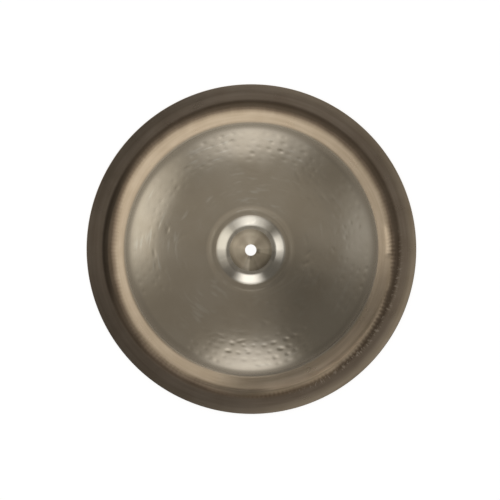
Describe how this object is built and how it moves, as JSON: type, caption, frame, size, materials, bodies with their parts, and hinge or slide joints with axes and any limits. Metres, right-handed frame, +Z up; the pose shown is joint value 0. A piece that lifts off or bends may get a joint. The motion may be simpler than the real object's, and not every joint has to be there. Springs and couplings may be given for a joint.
{
  "type": "china cymbal",
  "caption": "Thin round bronze cymbal with a raised bell, centre hole, hammered bow and upturned edge, to be struck on a cymbal stand.",
  "frame": {"origin": "on the axis of the centre hole, in the plane of the valley ring that the cymbal rests on", "axes": "+Z up through the bell, +X and +Y in the plane that it rests on"},
  "size_m": [0.3556, 0.3556, 0.0341],
  "materials": {
    "bronze": "hammered and turned bell bronze, satin"
  },
  "bodies": {
    "root": {"cymbal": "bronze"}
  },
  "joints": []
}
